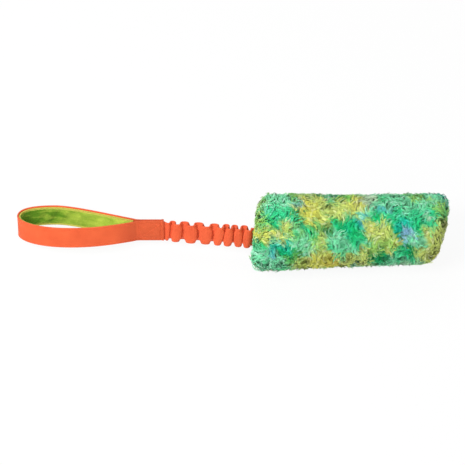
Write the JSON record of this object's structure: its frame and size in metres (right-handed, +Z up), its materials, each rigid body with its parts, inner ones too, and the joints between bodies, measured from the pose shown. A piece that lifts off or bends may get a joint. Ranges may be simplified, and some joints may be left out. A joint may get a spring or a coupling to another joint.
{
  "type": "bungee tug toy",
  "caption": "Dog's tug toy: a lined webbing hand loop, a gathered bungee sleeve over elastic, and a stuffed faux-fur roll.",
  "frame": {"origin": "under the middle of the toy's bounding box, on the floor it lies on", "axes": "+X from the hand loop to the roll, +Z up off the floor, +Y to the rear, towards the loop's rear strap"},
  "size_m": [0.4938, 0.1032, 0.0816],
  "materials": {
    "orange_webbing": "ribbed woven webbing, matt with a slight sheen",
    "orange_sleeve": "soft tubular webbing, gathered, matt",
    "orange_thread": "sewing thread",
    "lime_lining": "soft brushed fleece",
    "elastic": "flat braided elastic",
    "faux_fur": "curly faux fur in greens, teal, yellow and touches of blue",
    "wadding": "loose fibre filling"
  },
  "bodies": {
    "handle": {"handle_webbing": "orange_webbing", "handle_lining": "lime_lining", "edge_stitching_upper": "orange_thread", "edge_stitching_lower": "orange_thread", "neck_box_stitch_front": "orange_thread", "neck_box_stitch_rear": "orange_thread"},
    "bungee": {"bungee_sleeve": "orange_sleeve"},
    "core": {"elastic_core": "elastic"},
    "anchor": {"anchor_strap": "orange_webbing"},
    "tug": {"fur_cover": "faux_fur", "mouth_stitching": "orange_thread", "lap_box_stitch": "orange_thread", "wadding_front": "wadding", "wadding_rear": "wadding"}
  },
  "joints": [
    {"name": "neck_bend", "type": "hinge", "parent": "handle", "child": "bungee", "pos_m": [-0.07666, 0.01418, 0.02377], "axis": [0, 0.342, 0.9397], "range_deg": [-75, 75], "stiffness_Nm_per_rad": 0.05, "deforming": ["bungee_sleeve", "elastic_core"]},
    {"name": "bungee_stretch", "type": "slide", "parent": "bungee", "child": "core", "axis": [0.9895, -0.1357, 0.0494], "range_m": [0, 0.07], "stiffness_N_per_m": 400, "deforming": ["bungee_sleeve", "elastic_core"]},
    {"name": "bungee_twist", "type": "hinge", "parent": "core", "child": "anchor", "pos_m": [0.02544, 0.00111, 0.02853], "axis": [0.9895, -0.1357, 0.0494], "range_deg": [-90, 90], "stiffness_Nm_per_rad": 0.08, "deforming": ["bungee_sleeve", "elastic_core"]},
    {"name": "tug_swing", "type": "hinge", "parent": "anchor", "child": "tug", "pos_m": [0.02544, 0.00111, 0.02853], "axis": [-0.0419, 0.9991, 0], "range_deg": [-60, 60], "stiffness_Nm_per_rad": 0.08, "deforming": ["anchor_strap"]}
  ]
}
